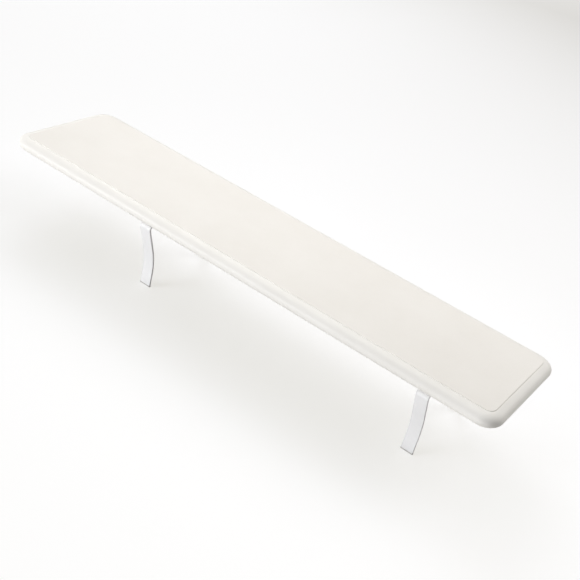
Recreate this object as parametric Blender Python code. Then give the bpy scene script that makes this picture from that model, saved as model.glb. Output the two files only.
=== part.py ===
"""Diving board: a laminated plank bolted to two bent flat-bar stands.

Metres. The origin is on the ground under the middle of the board. +X runs along
the board from the diving tip to the butt, +Y across it, and +Z is up.
"""

import math

import bmesh
import bpy

# Driving dimensions
BOARD_LENGTH = 1.83
BOARD_WIDTH = 0.44
BOARD_THICK = 0.044
CORNER_RADIUS = 0.058
DECK_HEIGHT = 0.290
GAP = 0.0003  # what touching pieces keep between them

# Moulded shell: its side is half-round below, and eases over in a longer ellipse above
SHELL_WALL = 0.004
EDGE_REACH = 0.031
LIP_INSET = 0.030
RECESS_INSET = 0.0315
RECESS_DEPTH = 0.0025
SEAM_WIDTH = 0.0006
TREAD_PROUD = 0.0015  # how far the tread panel stands above the shell's rim

# Timber core: a blank that fills the shell, sawn into strips
CORE_STRIPS = 5
SAW_SPARE = 0.01

# Stands: flat bar bent into an upturned trapezoid with a soft knee in each leg
STAND_X = {"tip": -0.323, "butt": 0.6945}
BAR_WIDTH = 0.040
BAR_THICK = 0.006
PAD_THICK = 0.003
SHOULDER_Y = 0.193  # centre of the shoulder bend
SHOULDER_RADIUS = 0.009
LEAN = math.radians(21.4)
KNEE_RADIUS = 0.282
KNEE_TOP_BELOW_DECK = 0.146
FOOT_THICK = 0.003
FOOT_MARGIN = 0.001  # how far a foot pad stands out around the bar's end

# Fixings, M8
BOLT_Y = (-0.165, -0.086, 0.086, 0.165)
BOLT_RADIUS = 0.004
HOLE_RADIUS = 0.00475
HEX_RADIUS = 0.0075  # to the corners
HEAD_HEIGHT = 0.0053
NUT_HEIGHT = 0.0065
NUT_BORE = BOLT_RADIUS + GAP
WASHER_RADIUS = 0.0085
WASHER_THICK = 0.0016
SPRING_RADIUS = 0.007
SPRING_THICK = 0.002
SPRING_SPLIT = math.radians(12)
BOLT_PAST_NUT = 0.001
PLATE_LENGTH = 0.376
PLATE_WIDTH = 0.044
PLATE_THICK = 0.003
NUT_POCKET_RADIUS = 0.0085
POCKET_SPARE = 0.002

CORNER_STEPS = 8
EDGE_STEPS = 10
ROUND_STEPS = 12
SHOULDER_STEPS = 8
KNEE_STEPS = 6

HALF_LENGTH = BOARD_LENGTH / 2
HALF_WIDTH = BOARD_WIDTH / 2
EDGE_RADIUS = BOARD_THICK / 2
BOARD_BOTTOM = DECK_HEIGHT - BOARD_THICK
EDGE_Z = BOARD_BOTTOM + EDGE_RADIUS
RIM_Z = DECK_HEIGHT - TREAD_PROUD
RECESS_Z = RIM_Z - RECESS_DEPTH
CEILING_Z = RECESS_Z - SHELL_WALL
CORE_LOW = BOARD_BOTTOM + SHELL_WALL + GAP
CORE_HIGH = CEILING_Z - GAP
PLATE_LOW = CORE_LOW + GAP
PLATE_HIGH = PLATE_LOW + PLATE_THICK
BAR_TOP = BOARD_BOTTOM - PAD_THICK
BAR_BOTTOM = BAR_TOP - BAR_THICK
WASHER_LOW = BAR_BOTTOM - GAP - WASHER_THICK
SPRING_LOW = WASHER_LOW - GAP - SPRING_THICK


def clear_scene():
    for old in list(bpy.data.objects):
        bpy.data.objects.remove(old, do_unlink=True)


def material(name, color, roughness, metallic=0.0):
    made = bpy.data.materials.new(name)
    made.use_nodes = True
    shader = made.node_tree.nodes["Principled BSDF"]
    shader.inputs["Base Color"].default_value = (*color, 1.0)
    shader.inputs["Roughness"].default_value = roughness
    shader.inputs["Metallic"].default_value = metallic
    return made


def place(name, mesh, finish, sharp_degrees=35):
    """Link a mesh as a named object, shaded smooth except at its real edges."""
    made = bpy.data.objects.new(name, mesh)
    bpy.context.scene.collection.objects.link(made)
    mesh.materials.append(finish)
    mesh.shade_smooth()
    mesh.set_sharp_from_angle(angle=math.radians(sharp_degrees))
    return made


def loft(name, rings, closed=False):
    """A mesh through rings of equally many points: a closed loop of rings, or capped at both ends."""
    shape = bmesh.new()
    rows = [[shape.verts.new(point) for point in ring] for ring in rings]
    count = len(rows[0])
    pairs = list(zip(rows, rows[1:]))
    if closed:
        pairs.append((rows[-1], rows[0]))
    for low, high in pairs:
        for i in range(count):
            j = (i + 1) % count
            shape.faces.new((low[i], low[j], high[j], high[i]))
    if not closed:
        shape.faces.new(rows[0])
        shape.faces.new(rows[-1])
    bmesh.ops.recalc_face_normals(shape, faces=shape.faces)
    mesh = bpy.data.meshes.new(name)
    shape.to_mesh(mesh)
    shape.free()
    return mesh


def plan_ring(inset, z):
    """The board's rounded outline, drawn in by inset, at height z."""
    radius = CORNER_RADIUS - inset
    along = HALF_LENGTH - CORNER_RADIUS
    across = HALF_WIDTH - CORNER_RADIUS
    ring = []
    for quarter, (side_x, side_y) in enumerate(((1, 1), (-1, 1), (-1, -1), (1, -1))):
        for step in range(CORNER_STEPS + 1):
            turn = math.radians(90) * (quarter + step / CORNER_STEPS)
            x = side_x * along + radius * math.cos(turn)
            y = side_y * across + radius * math.sin(turn)
            ring.append((x, y, z))
    return ring


def side_arc(depth, start, end):
    """(inset, z) points on the board's side, depth inside its skin, between two angles above level."""
    points = []
    for step in range(EDGE_STEPS + 1):
        turn = math.radians(start + (end - start) * step / EDGE_STEPS)
        above = math.sin(turn) > 0
        centre = EDGE_REACH if above else EDGE_RADIUS
        rise = (RIM_Z - EDGE_Z if above else EDGE_RADIUS) - depth
        points.append((centre - (centre - depth) * math.cos(turn), EDGE_Z + rise * math.sin(turn)))
    return points


def hollow_side(depth, ceiling):
    """The hollow's side, from its floor up to where it meets a ceiling."""
    rise = RIM_Z - EDGE_Z - depth
    return side_arc(depth, -90, math.degrees(math.asin((ceiling - EDGE_Z) / rise)))


def circle(x, y, z, radius, steps=ROUND_STEPS):
    turns = [2 * math.pi * step / steps for step in range(steps)]
    return [(x + radius * math.cos(turn), y + radius * math.sin(turn), z) for turn in turns]


def hexagon(x, y, z, radius):
    """A hexagon's corners and the middles of its sides, as many points as a circle's ring."""
    ring = []
    for step in range(ROUND_STEPS):
        reach = radius if step % 2 == 0 else radius * math.cos(math.radians(30))
        turn = 2 * math.pi * step / ROUND_STEPS
        ring.append((x + reach * math.cos(turn), y + reach * math.sin(turn), z))
    return ring


def block(name, low, high):
    corners = [(low[0], low[1]), (high[0], low[1]), (high[0], high[1]), (low[0], high[1])]
    return loft(name, [[(x, y, z) for x, y in corners] for z in (low[2], high[2])])


def cutter(name, mesh):
    made = bpy.data.objects.new(name, mesh)
    bpy.context.scene.collection.objects.link(made)
    made.hide_render = True
    made.display_type = "WIRE"
    return made


def cut(target, tool, operation="DIFFERENCE"):
    step = target.modifiers.new(tool.name, "BOOLEAN")
    step.operation = operation
    step.object = tool


def round_cutter(name, radius, low, high, stands):
    """One cutter of upright cylinders, at every bolt of the named stands."""
    shape = bmesh.new()
    for stand in stands:
        for y in BOLT_Y:
            rings = [circle(STAND_X[stand], y, z, radius) for z in (low, high)]
            one = loft(name, rings)
            shape.from_mesh(one)
            bpy.data.meshes.remove(one)
    mesh = bpy.data.meshes.new(name)
    shape.to_mesh(mesh)
    shape.free()
    return cutter(name, mesh)


def top_shell(finish):
    """The moulded skin: tread recess, half-round edge, turned-in lip, and the hollow for the core."""
    section = [(RECESS_INSET, RECESS_Z), (RECESS_INSET, RIM_Z)]
    section += side_arc(0.0, 90, -90)
    section += [(LIP_INSET, BOARD_BOTTOM), (LIP_INSET, BOARD_BOTTOM + SHELL_WALL)]
    section += hollow_side(SHELL_WALL, CEILING_Z)
    mesh = loft("top_shell", [plan_ring(inset, z) for inset, z in section])
    return place("top_shell", mesh, finish)


def tread_panel(finish):
    inset = RECESS_INSET + SEAM_WIDTH
    mesh = loft("tread_panel", [plan_ring(inset, z) for z in (RECESS_Z + GAP, DECK_HEIGHT)])
    return place("tread_panel", mesh, finish)


def bottom_skin(finish, bolt_holes):
    inset = LIP_INSET + GAP
    high = BOARD_BOTTOM + SHELL_WALL - GAP / 2
    mesh = loft("bottom_skin", [plan_ring(inset, z) for z in (BOARD_BOTTOM, high)])
    made = place("bottom_skin", mesh, finish)
    cut(made, bolt_holes)
    return made


def core_strips(finish, tools):
    """Equal strips side by side, sawn from one blank that fills the shell."""
    side = hollow_side(SHELL_WALL + GAP, CEILING_Z - GAP)
    blank = cutter("core_blank", loft("core_blank", [plan_ring(inset, z) for inset, z in side]))
    half = HALF_WIDTH - SHELL_WALL - GAP
    pitch = (2 * half + GAP) / CORE_STRIPS
    for number in range(CORE_STRIPS):
        low = -half + number * pitch
        high = low + pitch - GAP
        if number == 0:
            low -= SAW_SPARE
        if number == CORE_STRIPS - 1:
            high += SAW_SPARE
        name = f"core_strip_{number + 1}"
        corner_low = (-HALF_LENGTH, low, CORE_LOW - SAW_SPARE)
        corner_high = (HALF_LENGTH, high, CORE_HIGH + SAW_SPARE)
        strip = place(name, block(name, corner_low, corner_high), finish)
        cut(strip, blank, "INTERSECT")
        for tool in tools:
            cut(strip, tool)


def leg_path():
    """The bar's centre line in (y, z), from the middle of the seat bar round the shoulder to the foot."""
    seat_z = (BAR_TOP + BAR_BOTTOM) / 2
    points = [(0.0, seat_z)]
    for step in range(SHOULDER_STEPS + 1):
        turn = math.radians(90) - (math.radians(90) + LEAN) * step / SHOULDER_STEPS
        y = SHOULDER_Y + SHOULDER_RADIUS * math.cos(turn)
        z = seat_z - SHOULDER_RADIUS + SHOULDER_RADIUS * math.sin(turn)
        points.append((y, z))
    shoulder_y, shoulder_z = points[-1]
    knee_z = DECK_HEIGHT - KNEE_TOP_BELOW_DECK
    knee_y = shoulder_y - (shoulder_z - knee_z) * math.tan(LEAN)
    foot_y = knee_y - KNEE_RADIUS * (1 - math.cos(LEAN))
    for step in range(KNEE_STEPS + 1):
        turn = LEAN * (1 - step / KNEE_STEPS)
        y = foot_y + KNEE_RADIUS * (1 - math.cos(turn))
        z = knee_z - KNEE_RADIUS * (math.sin(LEAN) - math.sin(turn))
        points.append((y, z))
    points.append((foot_y, FOOT_THICK + GAP))
    return points


def stand(end, finish, bolt_holes):
    """One flat bar bent through both shoulders, flat side to the board and wide along X."""
    half = leg_path()
    path = [(-y, z) for y, z in reversed(half[1:])] + half[1:]
    rings = []
    for i, (y, z) in enumerate(path):
        before = path[max(i - 1, 0)]
        after = path[min(i + 1, len(path) - 1)]
        run = (after[0] - before[0], after[1] - before[1])
        size = math.hypot(*run)
        reach = BAR_THICK / 2
        if 0 < i < len(path) - 1:
            lead = math.hypot(y - before[0], z - before[1])
            bend = ((y - before[0]) * run[0] + (z - before[1]) * run[1]) / (lead * size)
            reach /= max(bend, 0.5)
        side = (-run[1] / size * reach, run[0] / size * reach)
        ring = []
        for sign, x in ((1, -0.5), (1, 0.5), (-1, 0.5), (-1, -0.5)):
            ring.append((STAND_X[end] + x * BAR_WIDTH, y + sign * side[0], z + sign * side[1]))
        rings.append(ring)
    made = place(f"stand_{end}", loft(f"stand_{end}", rings), finish)
    cut(made, bolt_holes)
    return made


def foot_pads(end, finish):
    foot_y = leg_path()[-1][0]
    for side, name in ((-1, "near"), (1, "far")):
        reach_x = BAR_WIDTH / 2 + FOOT_MARGIN
        reach_y = BAR_THICK / 2 + FOOT_MARGIN
        low = (STAND_X[end] - reach_x, side * foot_y - reach_y, 0.0)
        high = (STAND_X[end] + reach_x, side * foot_y + reach_y, FOOT_THICK)
        place(f"foot_pad_{end}_{name}", block("foot_pad", low, high), finish)


def isolator(end, finish, bolt_holes):
    low = (STAND_X[end] - BAR_WIDTH / 2, -SHOULDER_Y, BAR_TOP + GAP)
    high = (STAND_X[end] + BAR_WIDTH / 2, SHOULDER_Y, BOARD_BOTTOM - GAP)
    made = place(f"isolator_{end}", block("isolator", low, high), finish)
    cut(made, bolt_holes)


def backing_plate(end, finish, bolt_holes):
    low = (STAND_X[end] - PLATE_WIDTH / 2, -PLATE_LENGTH / 2, PLATE_LOW)
    high = (STAND_X[end] + PLATE_WIDTH / 2, PLATE_LENGTH / 2, PLATE_HIGH)
    made = place(f"backing_plate_{end}", block("backing_plate", low, high), finish)
    cut(made, bolt_holes)


def weld_nut(name, x, y, finish):
    low = PLATE_HIGH + GAP
    high = low + NUT_HEIGHT
    rings = [hexagon(x, y, low, HEX_RADIUS), hexagon(x, y, high, HEX_RADIUS)]
    rings += [circle(x, y, high, NUT_BORE), circle(x, y, low, NUT_BORE)]
    place(name, loft(name, rings, closed=True), finish)


def washer(name, x, y, finish):
    low = WASHER_LOW
    high = low + WASHER_THICK
    rings = [circle(x, y, low, WASHER_RADIUS), circle(x, y, high, WASHER_RADIUS)]
    rings += [circle(x, y, high, NUT_BORE), circle(x, y, low, NUT_BORE)]
    place(name, loft(name, rings, closed=True), finish)


def spring_washer(name, x, y, finish):
    """A split ring of square bar, drawn pressed flat as it is under a tight bolt."""
    high = SPRING_LOW + SPRING_THICK
    section = ((NUT_BORE, SPRING_LOW), (SPRING_RADIUS, SPRING_LOW), (SPRING_RADIUS, high), (NUT_BORE, high))
    rings = []
    for step in range(ROUND_STEPS + 1):
        turn = SPRING_SPLIT / 2 + (2 * math.pi - SPRING_SPLIT) * step / ROUND_STEPS
        ring = [(x + radius * math.cos(turn), y + radius * math.sin(turn), z) for radius, z in section]
        rings.append(ring)
    place(name, loft(name, rings), finish)


def bolt(name, x, y, finish):
    """Hex head under the washers, shank up through the nut, with a pointed lead-in."""
    head_top = SPRING_LOW - GAP
    head_low = head_top - HEAD_HEIGHT
    chamfer = BOLT_RADIUS / 4
    tip = PLATE_HIGH + GAP + NUT_HEIGHT + BOLT_PAST_NUT
    rings = [
        circle(x, y, head_low, HEX_RADIUS * math.cos(math.radians(30)) - chamfer / 2),
        hexagon(x, y, head_low + chamfer, HEX_RADIUS),
        hexagon(x, y, head_top, HEX_RADIUS),
        circle(x, y, head_top, BOLT_RADIUS),
        circle(x, y, tip - chamfer, BOLT_RADIUS),
        circle(x, y, tip, BOLT_RADIUS - chamfer),
    ]
    place(name, loft(name, rings), finish)


def build():
    clear_scene()
    gelcoat = material("gelcoat", (0.88, 0.86, 0.82), 0.45)
    tread = material("tread", (0.88, 0.85, 0.81), 0.60)
    laminate = material("laminate", (0.80, 0.79, 0.76), 0.50)
    timber = material("timber", (0.62, 0.44, 0.25), 0.60)
    paint = material("paint", (0.90, 0.90, 0.905), 0.50)
    zinc = material("zinc", (0.62, 0.63, 0.64), 0.35, metallic=1.0)
    rubber = material("rubber", (0.05, 0.05, 0.055), 0.80)
    pale_rubber = material("pale_rubber", (0.62, 0.61, 0.59), 0.70)

    ends = tuple(STAND_X)
    spare = BAR_THICK
    bolt_holes = round_cutter("bolt_holes", HOLE_RADIUS, BAR_BOTTOM - spare, PLATE_HIGH + spare, ends)
    nut_high = PLATE_HIGH + GAP + NUT_HEIGHT + BOLT_PAST_NUT + POCKET_SPARE
    nut_pockets = round_cutter("nut_pockets", NUT_POCKET_RADIUS, PLATE_LOW + GAP, nut_high, ends)
    plate_slots = []
    for end in ends:
        low = (STAND_X[end] - PLATE_WIDTH / 2 - GAP, -PLATE_LENGTH / 2 - GAP, CORE_LOW - spare)
        high = (STAND_X[end] + PLATE_WIDTH / 2 + GAP, PLATE_LENGTH / 2 + GAP, PLATE_HIGH + GAP)
        plate_slots.append(cutter(f"plate_slot_{end}", block("plate_slot", low, high)))

    top_shell(gelcoat)
    tread_panel(tread)
    bottom_skin(laminate, bolt_holes)
    core_strips(timber, [*plate_slots, nut_pockets])
    for end in ends:
        stand(end, paint, bolt_holes)
        foot_pads(end, pale_rubber)
        isolator(end, rubber, bolt_holes)
        backing_plate(end, zinc, bolt_holes)
        for number, y in enumerate(BOLT_Y, start=1):
            weld_nut(f"weld_nut_{end}_{number}", STAND_X[end], y, zinc)
            washer(f"washer_{end}_{number}", STAND_X[end], y, zinc)
            spring_washer(f"spring_washer_{end}_{number}", STAND_X[end], y, zinc)
            bolt(f"bolt_{end}_{number}", STAND_X[end], y, zinc)


build()
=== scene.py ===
import math

import bmesh
import bpy
from mathutils import Matrix, Vector


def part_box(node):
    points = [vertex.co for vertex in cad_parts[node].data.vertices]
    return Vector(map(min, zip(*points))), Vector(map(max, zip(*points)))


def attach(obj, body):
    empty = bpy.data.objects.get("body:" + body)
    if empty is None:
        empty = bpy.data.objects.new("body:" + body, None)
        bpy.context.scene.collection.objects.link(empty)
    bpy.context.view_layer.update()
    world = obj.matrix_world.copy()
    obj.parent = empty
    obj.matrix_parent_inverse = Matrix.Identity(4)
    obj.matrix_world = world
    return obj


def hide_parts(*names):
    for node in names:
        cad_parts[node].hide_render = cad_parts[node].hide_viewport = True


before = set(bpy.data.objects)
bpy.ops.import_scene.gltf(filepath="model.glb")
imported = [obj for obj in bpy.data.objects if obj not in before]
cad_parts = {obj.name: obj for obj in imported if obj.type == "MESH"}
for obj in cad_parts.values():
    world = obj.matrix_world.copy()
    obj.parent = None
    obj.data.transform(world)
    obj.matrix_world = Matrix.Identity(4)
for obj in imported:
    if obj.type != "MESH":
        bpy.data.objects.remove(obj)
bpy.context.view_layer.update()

# ---------------------------------------------------------------- sizes
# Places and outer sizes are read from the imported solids. The rest repeats the CAD's own sizes, or
# is a fine detail added to them. Metres.
BODY = "root"
ENDS = ("tip", "butt")
SIDES = ("near", "far")

SHELL_LOW, SHELL_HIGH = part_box("top_shell")
TREAD_LOW, TREAD_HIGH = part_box("tread_panel")
SKIN_LOW, SKIN_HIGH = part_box("bottom_skin")

HALF_LENGTH = SHELL_HIGH.x
HALF_WIDTH = SHELL_HIGH.y
BOARD_BOTTOM = SHELL_LOW.z
RIM_Z = SHELL_HIGH.z
DECK_Z = TREAD_HIGH.z
EDGE_RADIUS = 0.022  # the side's half-round below its widest line
EDGE_REACH = 0.031  # how far the side eases in above it
EDGE_Z = BOARD_BOTTOM + EDGE_RADIUS
CORNER_RADIUS = 0.058
SHELL_WALL = 0.004
LIP_INSET = 0.030
RECESS_INSET = 0.0315
RECESS_Z = RIM_Z - 0.0025
CEILING_Z = RECESS_Z - SHELL_WALL
TREAD_INSET = RECESS_INSET + 0.0001  # nearer than the solid, whose seam gives it clearance
SKIN_INSET = HALF_WIDTH - SKIN_HIGH.y

SHELL_SOFT = 0.0002  # how far sharp edges are rounded over
TREAD_SOFT = 0.0009
SKIN_SOFT = 0.0004
BEAD_RADIUS = 0.0011
BEAD_WIDE = 1.8  # the bead's half width and half height, in bead radii
BEAD_HIGH = 0.6
BEAD_STEPS = 12

BOLT_Y = (-0.165, -0.086, 0.086, 0.165)
HOLE_RADIUS = 0.00475

CORNER_STEPS = 24
SIDE_STEPS = 18
FILLET_STEPS = 5
ROUND_STEPS = 48
DRILL_STEPS = 32
DRILL_SPARE = 0.01  # how far a drill reaches past what it cuts
QUARTERS = ((1, 1), (-1, 1), (-1, -1), (1, -1))  # a rounded rectangle's corners, in order of angle


# ---------------------------------------------------------------- mesh tools
def finish_piece(name, mesh, material, replaced=(), sharp=32):
    """Link a finished mesh as one visible piece of the object."""
    made = bpy.data.objects.new(name, mesh)
    bpy.context.scene.collection.objects.link(made)
    mesh.materials.clear()
    mesh.materials.append(material)
    mesh.shade_smooth()
    mesh.set_sharp_from_angle(angle=math.radians(sharp))
    weighted = made.modifiers.new("face weighted shading", "WEIGHTED_NORMAL")
    weighted.keep_sharp = True
    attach(made, BODY)
    if replaced:
        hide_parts(*replaced)


def loft(name, rings, closed=False):
    """A mesh through rings of equally many points: a closed loop of rings, or capped at both ends."""
    shape = bmesh.new()
    rows = [[shape.verts.new(point) for point in ring] for ring in rings]
    count = len(rows[0])
    pairs = list(zip(rows, rows[1:]))
    if closed:
        pairs.append((rows[-1], rows[0]))
    for low, high in pairs:
        for i in range(count):
            j = (i + 1) % count
            shape.faces.new((low[i], low[j], high[j], high[i]))
    if not closed:
        shape.faces.new(rows[0])
        shape.faces.new(rows[-1])
    bmesh.ops.recalc_face_normals(shape, faces=shape.faces)
    mesh = bpy.data.meshes.new(name)
    shape.to_mesh(mesh)
    shape.free()
    return mesh


def rounded_rectangle(centre, half_x, half_y, radius, z, steps=4):
    """Points at height z round a rectangle with round corners."""
    ring = []
    for quarter, (side_x, side_y) in enumerate(QUARTERS):
        for step in range(steps + 1):
            turn = math.radians(90) * (quarter + step / steps)
            x = centre[0] + side_x * (half_x - radius) + radius * math.cos(turn)
            y = centre[1] + side_y * (half_y - radius) + radius * math.sin(turn)
            ring.append((x, y, z))
    return ring


def plan_ring(inset, z):
    """The board's rounded outline, drawn in by inset, at height z."""
    half_x, half_y = HALF_LENGTH - inset, HALF_WIDTH - inset
    return rounded_rectangle((0.0, 0.0), half_x, half_y, CORNER_RADIUS - inset, z, CORNER_STEPS)


def fillet(inset, z, radius, start, steps=FILLET_STEPS):
    """(inset, z) points round a quarter circle about inset, z, from a starting angle above outward."""
    points = []
    for step in range(steps + 1):
        turn = math.radians(start + 90 * step / steps)
        points.append((inset - radius * math.cos(turn), z + radius * math.sin(turn)))
    return points


def side_arc(depth, start, end, steps=SIDE_STEPS):
    """(inset, z) points on the board's side, depth inside its skin, between two angles above level."""
    points = []
    for step in range(steps + 1):
        turn = math.radians(start + (end - start) * step / steps)
        above = math.sin(turn) > 0
        centre = EDGE_REACH if above else EDGE_RADIUS
        rise = (RIM_Z - EDGE_Z if above else EDGE_RADIUS) - depth
        points.append((centre - (centre - depth) * math.cos(turn), EDGE_Z + rise * math.sin(turn)))
    return points


def circle(x, y, z, radius, steps=ROUND_STEPS):
    turns = [2 * math.pi * step / steps for step in range(steps)]
    return [(x + radius * math.cos(turn), y + radius * math.sin(turn), z) for turn in turns]


def drilled(mesh, centres, low, high):
    """The mesh with upright bolt holes cut through it from low to high."""
    target = bpy.data.objects.new("drilled", mesh)
    tools = bmesh.new()
    for x, y in centres:
        ends = (low - DRILL_SPARE, high + DRILL_SPARE)
        one = loft("drill", [circle(x, y, z, HOLE_RADIUS, DRILL_STEPS) for z in ends])
        tools.from_mesh(one)
        bpy.data.meshes.remove(one)
    tool_mesh = bpy.data.meshes.new("drills")
    tools.to_mesh(tool_mesh)
    tools.free()
    tool = bpy.data.objects.new("drills", tool_mesh)
    for made in (target, tool):
        bpy.context.scene.collection.objects.link(made)
    step = target.modifiers.new("holes", "BOOLEAN")
    step.operation = "DIFFERENCE"
    step.object = tool
    bpy.context.view_layer.update()
    cut = bpy.data.meshes.new_from_object(target.evaluated_get(bpy.context.evaluated_depsgraph_get()))
    for made in (target, tool):
        bpy.data.objects.remove(made, do_unlink=True)
    return cut


# ---------------------------------------------------------------- materials
class Look:
    """A Principled material whose node tree is built by short calls."""

    def __init__(self, name, roughness=0.5, metallic=0.0, **uniform):
        self.material = bpy.data.materials.new(name)
        self.material.use_nodes = True
        self.tree = self.material.node_tree
        self.shader = self.tree.nodes["Principled BSDF"]
        self.shader.inputs["Roughness"].default_value = roughness
        self.shader.inputs["Metallic"].default_value = metallic
        for socket, value in uniform.items():
            self.shader.inputs[socket.replace("_", " ")].default_value = value
        self.place = self.node("ShaderNodeTexCoord").outputs["Object"]

    def node(self, kind, **settings):
        made = self.tree.nodes.new(kind)
        for key, value in settings.items():
            setattr(made, key, value)
        return made

    def put(self, socket, value):
        """Link an output, or set a plain value."""
        if isinstance(value, bpy.types.NodeSocket):
            self.tree.links.new(value, socket)
        else:
            socket.default_value = value

    def stretched(self, x, y, z):
        mapping = self.node("ShaderNodeMapping")
        mapping.inputs["Scale"].default_value = (x, y, z)
        self.tree.links.new(self.place, mapping.inputs["Vector"])
        return mapping.outputs["Vector"]

    def noise(self, scale, detail=2.0, rough=0.5, where=None):
        made = self.node("ShaderNodeTexNoise")
        self.put(made.inputs["Vector"], where or self.place)
        made.inputs["Scale"].default_value = scale
        made.inputs["Detail"].default_value = detail
        made.inputs["Roughness"].default_value = rough
        return made.outputs["Fac"]

    def cells(self, scale, output="Distance"):
        made = self.node("ShaderNodeTexVoronoi")
        self.put(made.inputs["Vector"], self.place)
        made.inputs["Scale"].default_value = scale
        return made.outputs[output]

    def wave(self, scale, direction, distortion=0.0, detail=0.0, where=None):
        made = self.node("ShaderNodeTexWave", bands_direction=direction)
        self.put(made.inputs["Vector"], where or self.place)
        made.inputs["Scale"].default_value = scale
        made.inputs["Distortion"].default_value = distortion
        made.inputs["Detail"].default_value = detail
        return made.outputs["Fac"]

    def math(self, operation, a, b=0.0, clamp=False):
        made = self.node("ShaderNodeMath", operation=operation, use_clamp=clamp)
        self.put(made.inputs[0], a)
        self.put(made.inputs[1], b)
        return made.outputs[0]

    def between(self, value, low, high, to_low=0.0, to_high=1.0):
        made = self.node("ShaderNodeMapRange")
        self.put(made.inputs["Value"], value)
        made.inputs["From Min"].default_value = low
        made.inputs["From Max"].default_value = high
        made.inputs["To Min"].default_value = to_low
        made.inputs["To Max"].default_value = to_high
        return made.outputs["Result"]

    def mix(self, share, first, second):
        made = self.node("ShaderNodeMix", data_type="RGBA")
        self.put(made.inputs["Factor"], share)
        self.put(made.inputs["A"], first if not isinstance(first, tuple) else (*first, 1.0))
        self.put(made.inputs["B"], second if not isinstance(second, tuple) else (*second, 1.0))
        return made.outputs["Result"]

    def attribute(self, name):
        return self.node("ShaderNodeAttribute", attribute_name=name).outputs["Fac"]

    def axis(self, name):
        split = self.node("ShaderNodeSeparateXYZ")
        self.tree.links.new(self.place, split.inputs[0])
        return split.outputs[name]

    def bumps(self, *layers):
        """Chain (height, distance in metres) layers into the shader's normal."""
        last = None
        for height, distance in layers:
            bump = self.node("ShaderNodeBump")
            bump.inputs["Strength"].default_value = 1.0
            bump.inputs["Distance"].default_value = distance
            self.put(bump.inputs["Height"], height)
            if last is not None:
                self.tree.links.new(last, bump.inputs["Normal"])
            last = bump.outputs["Normal"]
        self.tree.links.new(last, self.shader.inputs["Normal"])

    def color(self, value):
        self.put(self.shader.inputs["Base Color"], value)

    def roughness(self, value):
        self.put(self.shader.inputs["Roughness"], value)


def gelcoat():
    look = Look("gelcoat", 0.46, Specular_IOR_Level=0.30)
    cloudy = look.noise(5.0, 4.0, 0.55)
    tone = look.mix(look.between(cloudy, 0.35, 0.65), (0.866, 0.847, 0.808), (0.890, 0.872, 0.836))
    look.color(tone)
    look.roughness(look.between(look.noise(38.0, 5.0, 0.6), 0.3, 0.7, 0.40, 0.52))
    look.bumps(
        (look.noise(110.0, 2.0, 0.5), 0.00012),
        (look.noise(700.0, 2.0, 0.5, look.stretched(0.06, 1.0, 1.0)), 0.00001),
    )
    return look.material


def tread():
    look = Look("tread", 0.6, Specular_IOR_Level=0.4)
    cloudy = look.noise(4.0, 5.0, 0.6)
    tone = look.mix(look.between(cloudy, 0.35, 0.65), (0.866, 0.838, 0.794), (0.892, 0.866, 0.826))
    grain = look.cells(620.0)
    fine = look.noise(1500.0, 2.0, 0.6)
    pits = look.between(grain, 0.25, 0.75, 0.0, 0.10)
    look.color(look.mix(pits, tone, (0.62, 0.59, 0.54)))
    look.roughness(look.between(look.noise(60.0, 4.0, 0.6), 0.3, 0.7, 0.52, 0.68))
    look.bumps(
        (look.noise(18.0, 3.0, 0.5), 0.0006),
        (look.math("SUBTRACT", 1.0, grain), 0.00022),
        (fine, 0.00008),
    )
    return look.material


def laminate():
    look = Look("laminate", 0.42)
    warp = look.wave(62.0, "X", 0.35, 1.0)
    weft = look.wave(62.0, "Y", 0.35, 1.0)
    weave = look.math("MAXIMUM", warp, weft)
    cloudy = look.noise(6.0, 4.0, 0.6)
    tone = look.mix(look.between(cloudy, 0.35, 0.65), (0.745, 0.732, 0.705), (0.80, 0.787, 0.757))
    look.color(look.mix(look.between(weave, 0.0, 1.0, 0.10, 0.0), tone, (0.58, 0.56, 0.52)))
    look.roughness(look.between(look.noise(45.0, 4.0, 0.6), 0.3, 0.7, 0.34, 0.52))
    look.bumps((weave, 0.00010), (look.noise(90.0, 3.0, 0.5), 0.00015))
    return look.material


def sealant():
    look = Look("sealant", 0.38, Specular_IOR_Level=0.45)
    tone = look.mix(look.noise(80.0, 3.0, 0.6), (0.70, 0.69, 0.66), (0.79, 0.78, 0.75))
    look.color(tone)
    look.bumps((look.noise(160.0, 3.0, 0.6), 0.0004))
    return look.material


def powder_coat():
    look = Look("powder_coat", 0.5, Specular_IOR_Level=0.35, Coat_Weight=0.06, Coat_Roughness=0.35)
    cloudy = look.noise(14.0, 4.0, 0.6)
    tone = look.mix(look.between(cloudy, 0.35, 0.65), (0.890, 0.888, 0.892), (0.910, 0.908, 0.912))
    edge = look.attribute("edge")
    # painted shade: the bar's narrow edge faces are mixed a quarter of the way to grey, standing in for
    # their shade
    tone = look.mix(look.math("MULTIPLY", edge, 0.25), tone, (0.45, 0.455, 0.47))
    scuffs = look.noise(240.0, 6.0, 0.7)
    chips = look.between(look.math("MULTIPLY", edge, scuffs), 0.58, 0.66)
    low = look.between(look.axis("Z"), 0.002, 0.022, 1.0, 0.0)
    spots = look.between(look.noise(120.0, 5.0, 0.65), 0.42, 0.62, 0.0, 0.22)
    splash = look.math("MULTIPLY", low, spots)
    tone = look.mix(splash, tone, (0.42, 0.41, 0.39))
    look.color(look.mix(chips, tone, (0.22, 0.22, 0.23)))
    look.roughness(look.between(look.noise(70.0, 4.0, 0.6), 0.3, 0.7, 0.44, 0.58))
    look.bumps(
        (look.noise(420.0, 2.0, 0.5), 0.00006),
        (look.math("SUBTRACT", 1.0, chips), 0.00008),
    )
    return look.material


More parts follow.
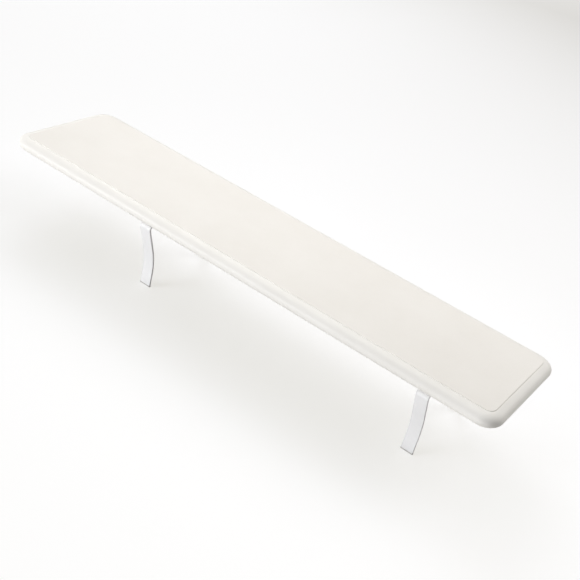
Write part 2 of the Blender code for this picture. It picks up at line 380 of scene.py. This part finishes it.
def zinc():
    look = Look("zinc", 0.3, metallic=1.0)
    flakes = look.cells(420.0, "Color")
    spangle = look.node("ShaderNodeRGBToBW")
    look.put(spangle.inputs[0], flakes)
    dull = look.between(look.noise(130.0, 5.0, 0.65), 0.35, 0.7)
    tone = look.mix(spangle.outputs[0], (0.56, 0.57, 0.585), (0.70, 0.71, 0.72))
    look.color(look.mix(look.math("MULTIPLY", dull, 0.5), tone, (0.42, 0.42, 0.41)))
    look.roughness(look.between(look.noise(300.0, 4.0, 0.6), 0.3, 0.7, 0.26, 0.44))
    look.bumps((look.noise(900.0, 3.0, 0.6), 0.00003))
    return look.material


def rubber():
    look = Look("rubber", 0.75, Specular_IOR_Level=0.35)
    dust = look.between(look.noise(95.0, 5.0, 0.65), 0.42, 0.75, 0.0, 0.35)
    look.color(look.mix(dust, (0.022, 0.022, 0.024), (0.12, 0.117, 0.11)))
    look.roughness(look.between(look.noise(160.0, 4.0, 0.6), 0.3, 0.7, 0.66, 0.88))
    look.bumps((look.noise(520.0, 3.0, 0.6), 0.00008))
    return look.material


def pale_rubber():
    look = Look("pale_rubber", 0.68, Specular_IOR_Level=0.35)
    dust = look.between(look.noise(95.0, 5.0, 0.65), 0.42, 0.75, 0.0, 0.35)
    look.color(look.mix(dust, (0.58, 0.57, 0.55), (0.66, 0.65, 0.63)))
    look.roughness(look.between(look.noise(160.0, 4.0, 0.6), 0.3, 0.7, 0.60, 0.82))
    look.bumps((look.noise(520.0, 3.0, 0.6), 0.00008))
    return look.material


def fir():
    look = Look("fir", 0.62)
    along = look.stretched(0.06, 1.0, 1.0)
    rings = look.wave(26.0, "Y", 5.5, 3.0, along)
    fibres = look.noise(900.0, 3.0, 0.6, look.stretched(0.02, 1.0, 1.0))
    tone = look.mix(rings, (0.62, 0.42, 0.22), (0.45, 0.27, 0.12))
    look.color(look.mix(look.between(fibres, 0.35, 0.7, 0.0, 0.35), tone, (0.72, 0.53, 0.32)))
    look.roughness(look.between(fibres, 0.3, 0.7, 0.5, 0.72))
    look.bumps((fibres, 0.00006), (rings, 0.00008))
    return look.material


# ---------------------------------------------------------------- board
def make_shell(material):
    """Its section runs from the recess over the rim, down the side, under the lip and back up inside."""
    soft = SHELL_SOFT
    section = [(RECESS_INSET, RECESS_Z)]
    section += reversed(fillet(RECESS_INSET - soft, RIM_Z - soft, soft, 90))
    section += side_arc(0.0, 88, -90, 2 * SIDE_STEPS)
    section += [(LIP_INSET - soft, BOARD_BOTTOM)]
    section += [(LIP_INSET, BOARD_BOTTOM + soft), (LIP_INSET, BOARD_BOTTOM + SHELL_WALL)]
    ceiling_turn = math.degrees(math.asin((CEILING_Z - EDGE_Z) / (RIM_Z - EDGE_Z - SHELL_WALL)))
    section += side_arc(SHELL_WALL, -90, ceiling_turn)
    mesh = loft("shell", [plan_ring(inset, z) for inset, z in section])
    finish_piece("shell", mesh, material, ["top_shell"])


def make_tread(material):
    soft = TREAD_SOFT
    section = [(TREAD_INSET, TREAD_LOW.z), (TREAD_INSET, DECK_Z - soft)]
    section += fillet(TREAD_INSET + soft, DECK_Z - soft, soft, 0)[1:]
    section.append((TREAD_INSET + 4 * soft, DECK_Z))
    mesh = loft("tread", [plan_ring(inset, z) for inset, z in section])
    finish_piece("tread", mesh, material, ["tread_panel"])


def bolt_places():
    """Each bolt's end of the board, number at that end, and x, y."""
    for end in ENDS:
        low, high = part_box(f"stand_{end}")
        for number, y in enumerate(BOLT_Y, start=1):
            yield end, number, (low.x + high.x) / 2, y


def make_underside(material):
    section = [(SKIN_INSET + SKIN_SOFT, SKIN_LOW.z), (SKIN_INSET, SKIN_LOW.z + SKIN_SOFT)]
    section += [(SKIN_INSET, SKIN_HIGH.z)]
    mesh = loft("underside", [plan_ring(inset, z) for inset, z in section])
    centres = [(x, y) for _end, _number, x, y in bolt_places()]
    mesh = drilled(mesh, centres, SKIN_LOW.z, SKIN_HIGH.z)
    finish_piece("underside", mesh, material, ["bottom_skin"])


def make_seam_bead(material):
    """The bead of sealant round the underside, where the skin meets the shell's lip."""
    rings = []
    for step in range(BEAD_STEPS):
        turn = 2 * math.pi * step / BEAD_STEPS
        inset = LIP_INSET + BEAD_RADIUS * BEAD_WIDE * math.cos(turn)
        rings.append(plan_ring(inset, BOARD_BOTTOM + BEAD_RADIUS * BEAD_HIGH * math.sin(turn)))
    mesh = loft("seam_bead", rings, closed=True)
    finish_piece("seam_bead", mesh, material)


# ---------------------------------------------------------------- stands
BAR_THICK = 0.006
BAR_HALF_WIDTH = 0.020
BAR_SOFT = 0.0009  # radius of the bar's own corners
BAR_END_SOFT = 0.0005  # bevel round its cut ends
EDGE_BAND = 0.0028  # how far in from a bar's edges its paint can chip and its painted edge shade fades out
EDGE_MARK = 0.0012  # points nearer the edge than this are marked as edge
SHOULDER_Y = 0.193
SHOULDER_RADIUS = 0.009
LEAN = math.radians(21.4)
KNEE_RADIUS = 0.282
KNEE_Z = DECK_Z - 0.146
ISOLATOR_THICK = 0.003
SEAT_Z = BOARD_BOTTOM - ISOLATOR_THICK - BAR_THICK / 2
SHOULDER_STEPS = 16
KNEE_STEPS = 20


def leg_path(foot_z):
    """One leg's centre line as (y, z, unit tangent), from the flat seat round the shoulder to the foot."""
    points = []
    for step in range(SHOULDER_STEPS + 1):
        turn = math.radians(90) - (math.radians(90) + LEAN) * step / SHOULDER_STEPS
        y = SHOULDER_Y + SHOULDER_RADIUS * math.cos(turn)
        z = SEAT_Z - SHOULDER_RADIUS + SHOULDER_RADIUS * math.sin(turn)
        points.append((y, z, (math.sin(turn), -math.cos(turn))))
    shoulder_y, shoulder_z, _tangent = points[-1]
    knee_y = shoulder_y - (shoulder_z - KNEE_Z) * math.tan(LEAN)
    foot_y = knee_y - KNEE_RADIUS * (1 - math.cos(LEAN))
    for step in range(KNEE_STEPS + 1):
        turn = LEAN * (1 - step / KNEE_STEPS)
        y = foot_y + KNEE_RADIUS * (1 - math.cos(turn))
        z = KNEE_Z - KNEE_RADIUS * (math.sin(LEAN) - math.sin(turn))
        points.append((y, z, (-math.sin(turn), -math.cos(turn))))
    points.append((foot_y, foot_z, (0.0, -1.0)))
    return points


def bar_section(shrink=0.0, steps=4):
    """(across the bar, through the bar) round a flat bar, with two more points inside each wide face."""
    ring = []
    half_x, half_t = BAR_HALF_WIDTH - shrink, BAR_THICK / 2 - shrink
    flat = half_x - EDGE_BAND
    for quarter, (side_x, side_t) in enumerate(QUARTERS):
        for step in range(steps + 1):
            turn = math.radians(90) * (quarter + step / steps)
            x = side_x * (half_x - BAR_SOFT) + BAR_SOFT * math.cos(turn)
            t = side_t * (half_t - BAR_SOFT) + BAR_SOFT * math.sin(turn)
            ring.append((x, t))
        if side_x == side_t:
            ring.append((side_x * flat, side_t * half_t))
            ring.append((-side_x * flat, side_t * half_t))
    return ring


def bar_ring(middle, station, shrink=0.0, shift=0.0):
    """The bar's section at one station of its path, shrunk, and shifted along the path."""
    y, z, (along_y, along_z) = station
    y, z = y + along_y * shift, z + along_z * shift
    return [(middle + x, y - along_z * t, z + along_y * t) for x, t in bar_section(shrink)]


def make_stand(end, material):
    """The bar along its whole path, bevelled at its cut ends, drilled, and marked along its edges."""
    low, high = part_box(f"stand_{end}")
    middle = (low.x + high.x) / 2
    leg = leg_path(low.z)
    path = [(-y, z, (ty, -tz)) for y, z, (ty, tz) in reversed(leg)] + leg
    first, last = path[0], path[-1]
    rings = [bar_ring(middle, first, shrink=BAR_END_SOFT), bar_ring(middle, first, shift=BAR_END_SOFT)]
    rings += [bar_ring(middle, station) for station in path[1:-1]]
    rings += [bar_ring(middle, last, shift=-BAR_END_SOFT), bar_ring(middle, last, shrink=BAR_END_SOFT)]
    mesh = loft(f"stand_{end}", rings)
    mesh = drilled(mesh, [(middle, y) for y in BOLT_Y], SEAT_Z, SEAT_Z)
    layer = mesh.attributes.new("edge", "FLOAT", "POINT")
    reach = BAR_HALF_WIDTH - EDGE_MARK
    marks = [1.0 if abs(vertex.co.x - middle) > reach else 0.0 for vertex in mesh.vertices]
    layer.data.foreach_set("value", marks)
    finish_piece(f"bent_stand_{end}", mesh, material, [f"stand_{end}"])


BLOCK_CORNER = 0.002
STRIP_SOFT = 0.0004
STRIP_BULGE = 0.0004
PAD_SOFT = 0.0007
PAD_BULGE = 0.0003


def soft_block(name, node, soft, bulge, material, holes=()):
    """A rubber strip or pad in a node's box, its edges rounded over and its sides squeezed out a little."""
    low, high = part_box(node)
    centre = ((low.x + high.x) / 2, (low.y + high.y) / 2)
    half_x, half_y = (high.x - low.x) / 2, (high.y - low.y) / 2
    levels = [(low.z, soft), (low.z + soft * 0.3, soft * 0.3), (low.z + soft, 0.0)]
    levels += [((low.z + high.z) / 2, -bulge)]
    levels += [(high.z - soft, 0.0), (high.z - soft * 0.3, soft * 0.3), (high.z, soft)]
    rings = []
    for z, inset in levels:
        rings.append(rounded_rectangle(centre, half_x - inset, half_y - inset, BLOCK_CORNER - inset, z))
    mesh = loft(name, rings)
    if holes:
        mesh = drilled(mesh, holes, low.z, high.z)
    finish_piece(name, mesh, material, [node])


# ---------------------------------------------------------------- fixings
WASHER_BORE = 0.0043
WASHER_SOFT = 0.0003
SPRING_SOFT = 0.00025
SPRING_START = 5  # degrees round the bolt, where the split ring starts
SPRING_SWEEP = 347
SPRING_SLANT = math.radians(7)  # how far a cut leans round the ring from its low face to its high one
SPRING_STEPS = 40
SHANK_RADIUS = 0.004
SHANK_LEAD = 0.001
HEAD_FACE = 0.93  # the round face under the head, as a share of half its width across the flats
HEAD_GAP = 0.0003  # from the head to its washer
HEAD_TURNS = (11, 37)  # degrees that every head is turned, and what each number adds, so none line up
CHAMFER_SLOPE = math.tan(math.radians(30))


def turned_ring(name, x, y, profile, material, replaced):
    """A washer: a closed profile of (radius, z) turned about the bolt."""
    rings = [circle(x, y, z, radius) for radius, z in profile]
    finish_piece(name, loft(name, rings, closed=True), material, [replaced])


def ring_profile(outer, low_z, high_z, soft_low, soft_high):
    """(radius, z) round a washer's section, its corners cut off by so much below and above."""
    inner = WASHER_BORE
    return [
        (inner, low_z + soft_low), (inner + soft_low, low_z),
        (outer - soft_low, low_z), (outer, low_z + soft_low),
        (outer, high_z - soft_high), (outer - soft_high, high_z),
        (inner + soft_high, high_z), (inner, high_z - soft_high),
    ]


def make_washer(end, number, x, y, material):
    """Stamped washer: its lower edges are rounder than its upper ones."""
    node = f"washer_{end}_{number}"
    low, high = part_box(node)
    profile = ring_profile((high.x - low.x) / 2, low.z, high.z, WASHER_SOFT, WASHER_SOFT * 0.4)
    turned_ring(f"plain_{node}", x, y, profile, material, node)


def make_spring_washer(end, number, x, y, material):
    """Split ring, its two cut ends a little apart and slanted."""
    node = f"spring_washer_{end}_{number}"
    low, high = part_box(node)
    profile = ring_profile((high.x - low.x) / 2, low.z, high.z, SPRING_SOFT, SPRING_SOFT)
    rings = []
    for step in range(SPRING_STEPS + 1):
        around = math.radians(SPRING_START + SPRING_SWEEP * step / SPRING_STEPS)
        ring = []
        for radius, z in profile:
            turn = around + SPRING_SLANT * (z - low.z) / (high.z - low.z)
            ring.append((x + radius * math.cos(turn), y + radius * math.sin(turn), z))
        rings.append(ring)
    finish_piece(f"split_{node}", loft(node, rings), material, [node])


def make_bolt(end, number, x, y, material):
    """Hex bolt: head below, with curved chamfer lines, and a plain shank with a lead-in above."""
    node = f"bolt_{end}_{number}"
    low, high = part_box(node)
    across = (high.y - low.y) / 2  # half the distance across the flats
    head_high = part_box(f"spring_washer_{end}_{number}")[0].z - HEAD_GAP
    face = across * HEAD_FACE
    turned = math.radians(HEAD_TURNS[0] + HEAD_TURNS[1] * number)

    def ring_at(z_of, radius_of):
        """Points round the axis: radius from the angle off the nearest flat, height from the radius."""
        ring = []
        for step in range(ROUND_STEPS):
            turn = 2 * math.pi * step / ROUND_STEPS
            sector = (turn + math.radians(30)) % math.radians(60) - math.radians(30)
            radius = radius_of(sector)
            angle = turn + turned
            ring.append((x + radius * math.cos(angle), y + radius * math.sin(angle), z_of(radius)))
        return ring

    def round_at(z, radius):
        return ring_at(lambda _radius: z, lambda _sector: radius)

    def hexagon(z_of):
        return ring_at(z_of, lambda sector: across / math.cos(sector))

    rings = [
        round_at(low.z, face * 0.5),
        round_at(low.z, face),
        hexagon(lambda radius: low.z + CHAMFER_SLOPE * (radius - face)),
        hexagon(lambda radius: head_high),
        round_at(head_high, SHANK_RADIUS),
        round_at(high.z - SHANK_LEAD, SHANK_RADIUS),
        round_at(high.z, SHANK_RADIUS - SHANK_LEAD * 0.7),
    ]
    finish_piece(f"hex_{node}", loft(node, rings), material, [node], sharp=22)


# ---------------------------------------------------------------- camera, light, floor
HEADING = -27.098  # degrees from +Y, clockwise seen from above
TILT = -31.110
ROLL = -15.987
AIM = (0.2062, -0.1767, DECK_Z)
DISTANCE = 2.8991
LENS = 62.459
SENSOR = 36.0

FLOOR_REACH = 30.0
FLOOR_BOUNCE = (0.77, 0.76, 0.75)  # its colour for the light that it sends back to the board
FLOOR_SHADE = (0.378, 0.394, 0.450)  # its colour to the camera: a dark one, so shadows stay weak
FLOOR_X = (-1.5, 1.5)  # the glow to the camera changes evenly over this stretch of floor
FLOOR_Y = (-1.2, 6.0)
GLOW_FRONT_LEFT = (0.625, 0.611, 0.560)
GLOW_FRONT_RIGHT = (0.725, 0.711, 0.666)
GLOW_BACK_LEFT = (0.532, 0.513, 0.462)
GLOW_BACK_RIGHT = (0.380, 0.356, 0.300)
GLOW_FAR = (0.98, 0.975, 0.965)
GLOW_FADE = (5.6, 9.5)  # between these distances the glow turns into that of the backdrop

WORLD_LIGHT = 0.142  # strength of the even light on everything
WORLD_SHOWN = 0.98  # strength of the backdrop that the camera sees
NEUTRAL = (1.0, 0.995, 0.985)
WARM = (1.0, 0.98, 0.945)
COOL = (0.975, 0.985, 1.0)


def make_camera():
    """At DISTANCE from AIM, looking at it, with the horizon turned by ROLL."""
    heading, tilt, roll = (math.radians(angle) for angle in (HEADING, TILT, ROLL))
    level = math.cos(tilt)
    forward = Vector((math.sin(heading) * level, math.cos(heading) * level, math.sin(tilt)))
    right = Vector((math.cos(heading), -math.sin(heading), 0.0))
    up = right.cross(forward)
    right, up = (
        right * math.cos(roll) - up * math.sin(roll),
        up * math.cos(roll) + right * math.sin(roll),
    )
    data = bpy.data.cameras.new("camera")
    data.lens = LENS
    data.sensor_width = SENSOR
    made = bpy.data.objects.new("camera", data)
    bpy.context.scene.collection.objects.link(made)
    place = Vector(AIM) - forward * DISTANCE
    axes = Matrix((right, up, -forward)).transposed().to_4x4()
    made.matrix_world = Matrix.Translation(place) @ axes
    bpy.context.scene.camera = made


def area_light(name, place, size, power, color):
    data = bpy.data.lights.new(name, "AREA")
    data.shape = "RECTANGLE"
    data.size, data.size_y = size
    data.energy = power
    data.color = color
    made = bpy.data.objects.new(name, data)
    bpy.context.scene.collection.objects.link(made)
    made.location = place
    made.rotation_euler = (Vector(AIM) - Vector(place)).to_track_quat("-Z", "Y").to_euler()


def make_world():
    """Even light from all round; the camera sees it as a white backdrop."""
    world = bpy.data.worlds.new("studio")
    bpy.context.scene.world = world
    world.use_nodes = True
    tree = world.node_tree
    tree.nodes.clear()
    out = tree.nodes.new("ShaderNodeOutputWorld")
    give = tree.nodes.new("ShaderNodeBackground")
    give.inputs["Color"].default_value = (1.0, 0.995, 0.99, 1.0)
    give.inputs["Strength"].default_value = WORLD_LIGHT
    show = tree.nodes.new("ShaderNodeBackground")
    show.inputs["Color"].default_value = (1.0, 0.995, 0.985, 1.0)
    show.inputs["Strength"].default_value = WORLD_SHOWN
    rays = tree.nodes.new("ShaderNodeLightPath")
    mixed = tree.nodes.new("ShaderNodeMixShader")
    tree.links.new(rays.outputs["Is Camera Ray"], mixed.inputs[0])
    tree.links.new(give.outputs[0], mixed.inputs[1])
    tree.links.new(show.outputs[0], mixed.inputs[2])
    tree.links.new(mixed.outputs[0], out.inputs[0])


def make_floor():
    """A wide pale floor. To the camera it glows, so the shadow on it is weak and its far part is white."""
    mesh = bpy.data.meshes.new("floor")
    corners = [(side_x * FLOOR_REACH, side_y * FLOOR_REACH, 0.0) for side_x, side_y in QUARTERS]
    mesh.from_pydata(corners, [], [(0, 1, 2, 3)])
    floor = bpy.data.objects.new("floor", mesh)
    bpy.context.scene.collection.objects.link(floor)
    look = Look("floor", 0.9, Specular_IOR_Level=0.0)
    camera = look.node("ShaderNodeLightPath").outputs["Is Camera Ray"]
    look.color(look.mix(camera, FLOOR_BOUNCE, FLOOR_SHADE))
    to_right = look.between(look.axis("X"), *FLOOR_X)
    to_back = look.between(look.axis("Y"), *FLOOR_Y)
    front = look.mix(to_right, GLOW_FRONT_LEFT, GLOW_FRONT_RIGHT)
    back = look.mix(to_right, GLOW_BACK_LEFT, GLOW_BACK_RIGHT)
    glow = look.mix(to_back, front, back)
    away = look.node("ShaderNodeVectorMath", operation="LENGTH")
    look.put(away.inputs[0], look.place)
    far = look.between(away.outputs["Value"], *GLOW_FADE)
    look.put(look.shader.inputs["Emission Color"], look.mix(far, glow, GLOW_FAR))
    look.put(look.shader.inputs["Emission Strength"], camera)
    mesh.materials.append(look.material)


def make_lights():
    """Softboxes, all turned to AIM: place, width and height in metres, watts, colour."""
    make_world()
    area_light("top_softbox", (-0.05, 0.3, 2.1), (3.1, 1.3), 14.5, NEUTRAL)
    area_light("back_left_softbox", (-3.25, 3.25, 3.86), (3.5, 3.0), 152.0, NEUTRAL)
    area_light("back_right_softbox", (3.25, 3.25, 3.86), (3.5, 3.0), 125.0, WARM)
    area_light("front_left_softbox", (-6.5, -10.0, 1.46), (5.1, 2.6), 1070.0, COOL)
    area_light("front_left_fill", (-3.3, -3.94, 6.13), (4.4, 3.6), 70.0, (1.0, 0.995, 0.99))


# ---------------------------------------------------------------- assembly
CARRIED_OVER = {"core_strip": "fir", "backing_plate": "zinc", "weld_nut": "zinc"}


def finish_inner_pieces(looks):
    """The sealed inner pieces keep their CAD solids and get real finishes."""
    for name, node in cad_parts.items():
        for start, look in CARRIED_OVER.items():
            if name.startswith(start):
                node.data.materials.clear()
                node.data.materials.append(looks[look])


def make_object():
    makers = (gelcoat, tread, laminate, sealant, powder_coat, zinc, rubber, pale_rubber, fir)
    looks = {maker.__name__: maker() for maker in makers}
    make_shell(looks["gelcoat"])
    make_tread(looks["tread"])
    make_underside(looks["laminate"])
    make_seam_bead(looks["sealant"])
    for end in ENDS:
        make_stand(end, looks["powder_coat"])
        holes = [(x, y) for at, _number, x, y in bolt_places() if at == end]
        node = f"isolator_{end}"
        soft_block(f"rubber_{node}", node, STRIP_SOFT, STRIP_BULGE, looks["rubber"], holes)
        for side in SIDES:
            node = f"foot_pad_{end}_{side}"
            soft_block(f"rubber_{node}", node, PAD_SOFT, PAD_BULGE, looks["pale_rubber"])
    for end, number, x, y in bolt_places():
        make_washer(end, number, x, y, looks["zinc"])
        make_spring_washer(end, number, x, y, looks["zinc"])
        make_bolt(end, number, x, y, looks["zinc"])
    finish_inner_pieces(looks)


bpy.context.scene.view_settings.view_transform = "Standard"
bpy.context.scene.view_settings.look = "None"
make_object()
make_camera()
make_floor()
make_lights()
